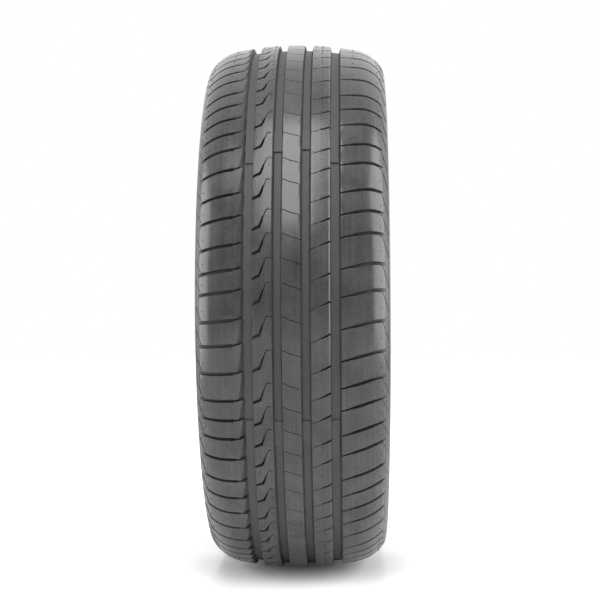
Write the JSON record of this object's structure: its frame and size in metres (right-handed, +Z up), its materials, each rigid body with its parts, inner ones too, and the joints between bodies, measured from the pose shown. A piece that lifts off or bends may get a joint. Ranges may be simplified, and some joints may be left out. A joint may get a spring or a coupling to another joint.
{
  "type": "car tyre",
  "caption": "Passenger car tyre in black rubber with main grooves, siped ribs, cross-grooved shoulders, plain sidewalls and open beads, unmounted.",
  "frame": {"origin": "centre of the tyre on its spin axis", "axes": "+Y along the spin axis, +Z up"},
  "size_m": [0.632, 0.2072, 0.632],
  "materials": {
    "rubber": "matt moulded black rubber"
  },
  "bodies": {
    "root": {"tyre": "rubber"}
  },
  "joints": []
}
